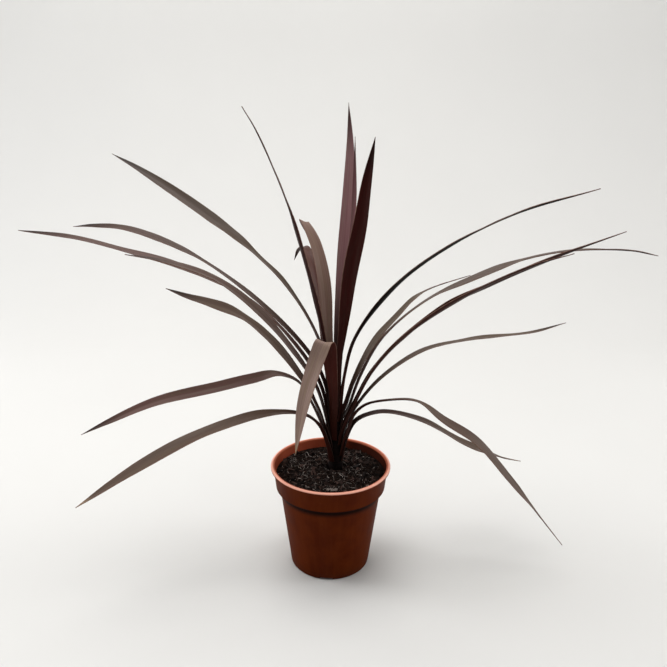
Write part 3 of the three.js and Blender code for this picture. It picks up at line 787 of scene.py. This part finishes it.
def dress_compost(soil):
    """Lays crumbs, clumps by the wall, chips, fibres and one flake on the compost."""
    crumbs = [crumb_pattern(seed) for seed in range(6)]
    chips = [chip_pattern(seed) for seed in range(5)]
    fibres = [fibre_pattern(seed) for seed in range(6)]
    peat = scrap_material("peat_crumb", (0.003, 0.0016, 0.0012), (0.034, 0.0165, 0.0105), 0.9)
    bark = scrap_material("bark_chip", (0.006, 0.0030, 0.0024), (0.090, 0.050, 0.040), 0.7)
    straw = scrap_material("root_fibre", (0.040, 0.028, 0.022), (0.850, 0.750, 0.680), 0.6)
    scatter("compost_crumbs", crumbs, 1500, (1.0, 3.6), 0.12, 11, soil, peat)
    scatter("wall_clumps", crumbs, 240, (2.2, 4.8), 0.28, 14, soil, peat,
            reach=56, ring=0.8, arc_ends=(-35, 215))
    scatter("bark_chips", chips, 330, (0.6, 2.1), 0.25, 12, soil, bark, reach=55)
    scatter("root_fibres", fibres, 560, (0.4, 1.8), 0.3, 13, soil, straw, reach=54, rarity=1.8)
    lay_flake(soil, straw)
    discard(crumbs + chips + fibres)


# Stem

def stem_radius(z):
    if z < COLLAR_Z:
        t = (z - STEM_BOTTOM) / (COLLAR_Z - STEM_BOTTOM)
        return STEM_FOOT_RADIUS + (STEM_COLLAR_RADIUS - STEM_FOOT_RADIUS) * t
    if z < SHOULDER_Z:
        t = (z - COLLAR_Z) / (SHOULDER_Z - COLLAR_Z)
        return STEM_COLLAR_RADIUS + (SHOULDER_RADIUS - STEM_COLLAR_RADIUS) * t
    t = min(1, (z - SHOULDER_Z) / (STEM_TOP_Z - SHOULDER_Z))
    return SHOULDER_RADIUS + (STEM_TOP_RADIUS - SHOULDER_RADIUS) * t


def stem_material():
    """Dark young bark, made near-black as painted shade under the crown of leaves, with rings where old
    leaves came away.
    """
    made, tree, shader = material("stem_bark")
    place = node(tree, "TexCoord").outputs["Object"]
    rings = node(tree, "Mapping", {"Vector": place, "Scale": (60, 60, 900)}).outputs[0]
    bands = noise(tree, rings, 1, 3)
    # Painted shade: the bark's colours are near-black for the shade under the leaves.
    colour = mix(tree, spread(tree, bands, 0.35, 0.7), (0.003, 0.0015, 0.0015), (0.014, 0.007, 0.006))
    coat(tree, shader, colour, 0.75, 0.1)
    raise_surface(tree, shader, bands, 0.4 * MM)
    return made


def make_stem():
    """The stem, spun from an outline with a groove at every leaf scar, and moved to its place."""
    outline = [(0, STEM_BOTTOM), (STEM_FOOT_RADIUS, STEM_BOTTOM)]
    levels = 60
    for i in range(levels + 1):
        z = SCARS_FROM + (SCARS_TO - SCARS_FROM) * i / levels
        groove = SCAR_DEPTH * max(0, math.sin(2 * math.pi * z / SCAR_SPACING)) ** 2
        outline.append((stem_radius(z) - groove, z))
    outline += [(stem_radius(STEM_TOP_Z - 1), STEM_TOP_Z - 1)]
    outline += [(STEM_TOP_RADIUS * 0.6, STEM_TOP_Z), (0, STEM_TOP_Z + 1)]
    stem = spun("stem_trunk", outline, 48)
    pick(stem)
    bpy.ops.transform.translate(value=Vector((STEM_X, STEM_Y, 0)) * MM)
    settle_in_place(stem)
    smooth(stem, 60)
    stem.data.materials.append(stem_material())
    hand_over(stem, "stem", "stem")


# Leaves

def leaf_surface(name, light, dull, base, roughness, gloss, foot_share=1.0):
    """One face of a blade, with fine veins along it, a dark foot painted as shade where the blades crowd
    round the stem, and a tip that is dark or dried to tan.
    """
    made, tree, shader = material(name)
    uv = node(tree, "TexCoord").outputs["UV"]
    parts = node(tree, "SeparateXYZ", {0: uv})
    across, along = parts.outputs["X"], parts.outputs["Y"]
    tint_node = node(tree, "Attribute", attribute_name="leaf_tint_and_light")
    tint = node(tree, "SeparateColor", {0: tint_node.outputs["Color"]})
    lightness, olive, red = tint.outputs[0], tint.outputs[1], tint.outputs[2]
    stretched = {0: times(tree, across, 26.0), 1: times(tree, along, 5.0), 2: times(tree, lightness, 37.0)}
    own = node(tree, "CombineXYZ", stretched).outputs[0]
    veins = noise(tree, own, 1.0, 4, 0.6)
    wide = node(tree, "Mapping", {"Vector": own, "Scale": (0.16, 1.4, 1)}).outputs[0]
    blotches = noise(tree, wide, 1.0, 3, 0.6)
    colour = mix(tree, olive, light, dull)
    colour = mix(tree, red, colour, mix(tree, 1.0, colour, (1.06, 0.59, 0.63), "MULTIPLY"))
    colour = mix(tree, spread(tree, veins, 0.40, 0.66, 0, 0.42), colour, base)
    colour = mix(tree, spread(tree, blotches, 0.42, 0.7, 0, 0.5), colour, dull)
    edge = calculate(tree, "ABSOLUTE", calculate(tree, "SUBTRACT", across, 0.5))
    colour = mix(tree, spread(tree, edge, 0.0, 0.03, 0.3, 0), colour, base)
    # Partly painted light: each leaf's lightness is its own tone together with how it faces the light,
    # lighter for blades facing the light and darker for blades turned away.
    shade = node(tree, "CombineXYZ", {0: lightness, 1: lightness, 2: lightness}).outputs[0]
    colour = mix(tree, 1.0, colour, shade, "MULTIPLY")
    colour = mix(tree, spread(tree, edge, 0.45, 0.5, 0, 0.4), colour, (0.26, 0.15, 0.11))
    # Painted shade: the blade's foot is darkened where the blades crowd round the stem.
    reach = node(tree, "Attribute", attribute_name="shaded_foot").outputs["Fac"]
    from_foot = calculate(tree, "DIVIDE", along, reach)
    foot = spread(tree, from_foot, 0.33 * foot_share, foot_share, 0.94, 0)
    colour = mix(tree, foot, colour, mix(tree, veins, (0.007, 0.0022, 0.0018), (0.052, 0.0135, 0.0085)))
    dry = tint_node.outputs["Alpha"]
    tip = calculate(tree, "ADD", along, times(tree, blotches, 0.03))
    fresh = calculate(tree, "SUBTRACT", 1.0, dry)
    dark_tip = times(tree, spread(tree, tip, 0.84, 1.0, 0, 0.85), fresh)
    colour = mix(tree, dark_tip, colour, (0.014, 0.0055, 0.0045))
    dry_tip = times(tree, spread(tree, tip, 0.955, 1.0, 0, 0.9), dry)
    colour = mix(tree, dry_tip, colour, (0.30, 0.20, 0.12))
    coat(tree, shader, colour, spread(tree, veins, 0.3, 0.7, roughness, roughness + 0.12), gloss)
    raise_surface(tree, shader, veins, 0.12 * MM, 0.6)
    return made


def margin_material():
    """The thin edge of a blade, reddish to tan, and darkened as painted shade where it clasps the stem."""
    made, tree, shader = material("leaf_margin")
    uv = node(tree, "TexCoord").outputs["UV"]
    along = node(tree, "SeparateXYZ", {0: uv}).outputs["Y"]
    fleck = noise(tree, uv, 60, 3)
    colour = mix(tree, spread(tree, fleck, 0.35, 0.7), (0.12, 0.045, 0.034), (0.26, 0.15, 0.105))
    # Painted shade: the margin darkens towards the foot, where the blades crowd round the stem.
    colour = mix(tree, spread(tree, along, 0.12, 0.42, 0.88, 0), colour, (0.012, 0.005, 0.005))
    coat(tree, shader, colour, 0.55, 0.15)
    return made


def ease(value, low, high):
    t = min(1.0, max(0.0, (value - low) / (high - low)))
    return t * t * (3 - 2 * t)


def catmull_rom(points, samples):
    """Points along a centripetal Catmull-Rom curve, which runs through all the given ones."""
    ends = [2 * points[0] - points[1], *points, 2 * points[-1] - points[-2]]
    made = []
    for p0, p1, p2, p3 in zip(ends, ends[1:], ends[2:], ends[3:]):
        d0, d1, d2 = ((b - a).length ** 0.5 for a, b in ((p0, p1), (p1, p2), (p2, p3)))
        leave = ((p1 - p0) / d0 - (p2 - p0) / (d0 + d1) + (p2 - p1) / d1) * d1
        enter = ((p2 - p1) / d1 - (p3 - p1) / (d1 + d2) + (p3 - p2) / d2) * d1
        for i in range(samples):
            t = i / samples
            made.append(p1 * (2 * t**3 - 3 * t**2 + 1) + leave * (t**3 - 2 * t**2 + t)
                        + p2 * (3 * t**2 - 2 * t**3) + enter * (t**3 - t**2))
    return made + [points[-1].copy()]


def even_steps(line, count):
    """The line's points and directions at even steps of its length."""
    lengths = [0.0]
    for a, b in zip(line, line[1:]):
        lengths.append(lengths[-1] + (b - a).length)
    found = []
    k = 0
    for i in range(count + 1):
        wanted = lengths[-1] * i / count
        while k < len(line) - 2 and lengths[k + 1] < wanted:
            k += 1
        share = (wanted - lengths[k]) / (lengths[k + 1] - lengths[k])
        before, after = line[max(0, k - 1)], line[min(len(line) - 1, k + 2)]
        found.append((line[k].lerp(line[k + 1], share), (after - before).normalized()))
    return found


def blade_width(s, leaf, clasp):
    """How wide the blade is at a share of its length, from clasp through waist and belly to tip."""
    belly = leaf.get("belly", BELLY_AT)
    taper = leaf.get("taper", TAPER)
    waist = leaf.get("waist", WAIST) * leaf["width"]
    if s < WAIST_AT:
        return clasp + (waist - clasp) * ease(s, 0, WAIST_AT)
    if s < belly:
        return waist + (leaf["width"] - waist) * ease(s, WAIST_AT, belly) ** SWELL
    return max(TIP_WIDTH, leaf["width"] * (1 - ((s - belly) / (1 - belly)) ** taper))


def blade_section(s, half, bend):
    """Half a section from the midrib out: round the stem at the base, a channel with a soft keel above."""
    if s > MIDDLE_AT:
        fold = MIDDLE_FOLD + (TIP_FOLD - MIDDLE_FOLD) * (s - MIDDLE_AT) / (1 - MIDDLE_AT)
    else:
        fold = CHANNEL_FOLD + (MIDDLE_FOLD - CHANNEL_FOLD) * ease(s, CHANNEL_AT, MIDDLE_AT)
    channel = ease(s, 0, CHANNEL_AT)
    places = [(0.0, 0.0)]
    steps = COLUMNS // 2
    for i in range(steps):
        middle = (i + 0.5) / steps
        keeled = math.radians(fold) * middle / math.hypot(middle, KEEL_ROUND)
        tilt = bend * middle + (keeled - bend * middle) * channel
        width, rise = places[-1]
        places.append((width + half / steps * math.cos(tilt), rise + half / steps * math.sin(tilt)))
    lift = places[-1][1] / 2
    return [(width, rise - lift) for width, rise in places]


def blade_roll(s, rolls):
    """How far the blade is rolled at a share of its length, in degrees."""
    place = s * (len(rolls) - 1)
    step = min(int(place), len(rolls) - 1)
    following = min(step + 1, len(rolls) - 1)
    return rolls[step] + (rolls[following] - rolls[step]) * ease(place - step, 0, 1)


def lay_blade(blade, leaf, phase):
    """Carries the rows of a flat grid to their places along the midrib, and folds and rolls them there."""
    azimuth = math.radians(leaf["azimuth"])
    out = Vector((math.cos(azimuth), math.sin(azimuth), 0))
    aside = Vector((-out.y, out.x, 0))
    axis = Vector((STEM_X, STEM_Y, 0))
    springs = leaf["springs"]
    wrap = math.radians(leaf.get("wrap", WRAP))
    keel_radius = (stem_radius(springs) + CLEARANCE) / math.cos(wrap / 4) + BLADE_THICKNESS / 2
    clasp = 2 * keel_radius * wrap
    seat = keel_radius * (1 + math.cos(wrap)) / 2
    youth = (springs - LOWEST_SPRING) / (HIGHEST_SPRING - LOWEST_SPRING)
    lean = OUTER_LEAN + (INNER_LEAN - OUTER_LEAN) * youth
    stops = [(seat, springs), (seat + lean * SHEATH, springs + SHEATH), *leaf["path"]]
    points = [axis + Vector((0, 0, z)) + out * reach + aside * sum(shift) for reach, z, *shift in stops]
    for j, (centre, along) in enumerate(even_steps(catmull_rom(points, 40), ROWS)):
        s = j / ROWS
        across = (aside - along * aside.dot(along)).normalized()
        across.rotate(Matrix.Rotation(math.radians(blade_roll(s, leaf["rolls"])), 3, along))
        face = along.cross(across)
        half = blade_width(s, leaf, clasp) / 2
        bend = half / ((centre - axis).dot(out) + keel_radius - seat)
        section = blade_section(s, half, bend)
        calm = ease(s, 0.3, 0.5) * ease(s, 1.0, 0.85)
        for i in range(COLUMNS + 1):
            k = 1 - 2 * i / COLUMNS
            width, rise = section[abs(i - COLUMNS // 2)]
            ripple = WAVE_HEIGHT * calm * k * k * math.sin(WAVE_PACE * s + phase + 1.3 * k)
            place = centre + across * math.copysign(width, k) + face * (rise + ripple)
            blade.data.vertices[j * (COLUMNS + 1) + i].co = place * MM


def thicken_blade(blade):
    """Gives the blade its body, which thins towards both edges."""
    body = blade.vertex_groups.new(name="body")
    for vertex in blade.data.vertices:
        row, column = divmod(vertex.index, COLUMNS + 1)
        k = 1 - 2 * column / COLUMNS
        body.add([vertex.index], 1 - EDGE_THINNING * k * k * ease(row / ROWS, 0.2, 0.5), "REPLACE")
    modify(blade, "SOLIDIFY", thickness=BLADE_THICKNESS * MM, offset=0, use_even_offset=True,
           use_quality_normals=True, vertex_group="body", thickness_vertex_group=0.3, material_offset=1,
           material_offset_rim=2)
    smooth(blade, 70)


def make_leaf(number, leaf, surfaces):
    """One leaf, from a flat grid of rows and columns."""
    deselect()
    bpy.ops.mesh.primitive_grid_add(x_subdivisions=COLUMNS, y_subdivisions=ROWS, size=2, calc_uvs=True)
    blade = new_piece(f"leaf_blade_{number:02d}")
    lay_blade(blade, leaf, random.Random(number).uniform(0, 6))
    mark(blade, "leaf_tint_and_light", *leaf["tint"], leaf.get("dry", 0))
    mark(blade, "shaded_foot", leaf.get("foot", SHADED_FOOT))
    for surface in surfaces:
        blade.data.materials.append(surface)
    thicken_blade(blade)
    hand_over(blade, "leaf", f"leaf_{number:02d}")


def make_leaves():
    """Each blade has an upper face, an under face and a margin. The under face is a darker copy of the
    leaf's colour, its darkness painted shade. Two upright ones are mauve above.
    """
    upper = leaf_surface("leaf_upper_face", (0.130, 0.094, 0.080), (0.115, 0.082, 0.054),
                         (0.060, 0.022, 0.018), 0.40, 0.20)
    # Painted shade: the under face is the leaf's colour made far darker.
    under = leaf_surface("leaf_under_face_shaded_copy", (0.030, 0.0050, 0.0035), (0.027, 0.0100, 0.0070),
                         (0.016, 0.0022, 0.0016), 0.36, 0.05, 0.86)
    mauve = leaf_surface("leaf_young_face", (0.130, 0.090, 0.092), (0.115, 0.082, 0.072),
                         (0.070, 0.022, 0.024), 0.40, 0.25)
    margin = margin_material()
    for number, leaf in enumerate(LEAVES, 1):
        top = mauve if number in MAUVE_LEAVES else upper
        make_leaf(number, leaf, (top, under, margin))


# Plain studio floor, which sweeps up behind

def make_stage():
    deselect()
    bpy.ops.mesh.primitive_plane_add(size=FLOOR_SIZE, location=(0, FLOOR_Y, 0))
    floor = new_piece("studio_floor")
    settle_in_place(floor)
    open_mesh("EDGE")
    bpy.ops.mesh.select_all(action="DESELECT")
    close_mesh()
    for edge in floor.data.edges:
        edge.select = all(floor.data.vertices[i].co.y > 0 for i in edge.vertices)
    bpy.ops.object.mode_set(mode="EDIT")
    extrude((0, 0, SWEEP_HEIGHT))
    close_mesh()
    modify(floor, "BEVEL", width=SWEEP_RADIUS, segments=24)
    smooth(floor, 60)
    made, tree, shader = material("studio_paper")
    place = node(tree, "TexCoord").outputs["Object"]
    colour = mix(tree, noise(tree, place, 3, 2), (0.70, 0.695, 0.68), (0.735, 0.73, 0.715))
    coat(tree, shader, colour, 0.85)
    floor.data.materials.append(made)


place_camera()
light_studio()
make_pot()
dress_compost(make_compost())
make_stem()
make_leaves()
make_stage()
